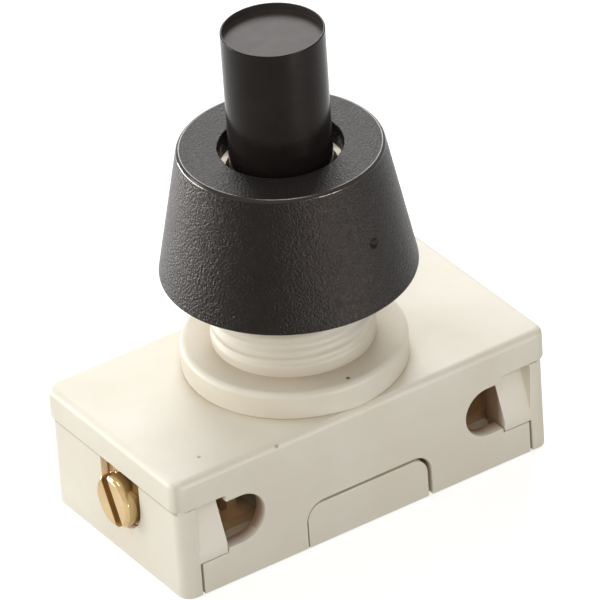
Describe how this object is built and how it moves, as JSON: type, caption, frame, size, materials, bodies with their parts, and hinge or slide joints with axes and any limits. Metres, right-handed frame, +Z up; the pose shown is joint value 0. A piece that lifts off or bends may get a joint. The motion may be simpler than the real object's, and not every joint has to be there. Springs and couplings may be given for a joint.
{
  "type": "pushbutton switch",
  "caption": "Through-panel lamp pushbutton switch: ivory snap housing with a threaded neck, black conical ring nut, long black button, ratchet rotor and brass screw terminals.",
  "frame": {"origin": "centre of the base's underside, on the axis of the neck and button", "axes": "+Z up along the neck and button, +X along the housing's long side, -Y towards the wire entries"},
  "size_m": [0.0338, 0.0186, 0.0375],
  "materials": {
    "ivory_plastic": "satin moulded",
    "black_plastic": "fine-grained moulded",
    "rotor_plastic": "smooth moulded",
    "brass": "bright rolled",
    "contact_silver": "dull silver",
    "spring_steel": "drawn wire"
  },
  "bodies": {
    "housing": {"cover": "ivory_plastic", "base": "ivory_plastic", "terminal_left": "brass", "terminal_right": "brass", "contact_tip_left": "contact_silver", "contact_tip_right": "contact_silver", "return_spring": "spring_steel"},
    "button": {"button": "black_plastic"},
    "rotor": {"rotor": "rotor_plastic", "contact_bridge": "brass"},
    "ring_nut": {"ring_nut": "black_plastic"},
    "screw_left": {"terminal_screw_left": "brass"},
    "screw_right": {"terminal_screw_right": "brass"}
  },
  "joints": [
    {"name": "button_press", "type": "slide", "parent": "housing", "child": "button", "axis": [0, 0, -1], "range_m": [0, 0.003], "stiffness_N_per_m": 400, "springref_m": -0.006, "deforming": ["return_spring"]},
    {"name": "rotor_turn", "type": "hinge", "parent": "housing", "child": "rotor", "pos_m": [0, 0, 0.0017], "axis": [0, 0, -1], "range_deg": [0, 66]},
    {"name": "ring_nut_lift", "type": "slide", "parent": "housing", "child": "ring_nut", "axis": [0, 0, 1], "range_m": [0, 0.0205]},
    {"name": "screw_left_turn", "type": "hinge", "parent": "housing", "child": "screw_left", "pos_m": [-0.0159, -0.0009, 0.00498], "axis": [-1, 0, 0], "range_deg": [0, 720]},
    {"name": "screw_right_turn", "type": "hinge", "parent": "housing", "child": "screw_right", "pos_m": [0.0159, -0.0009, 0.00498], "axis": [1, 0, 0], "range_deg": [0, 720]}
  ],
  "couplings": [
    {"joint": "rotor_turn", "follows": "button_press", "rad_per_m": 383.97}
  ]
}
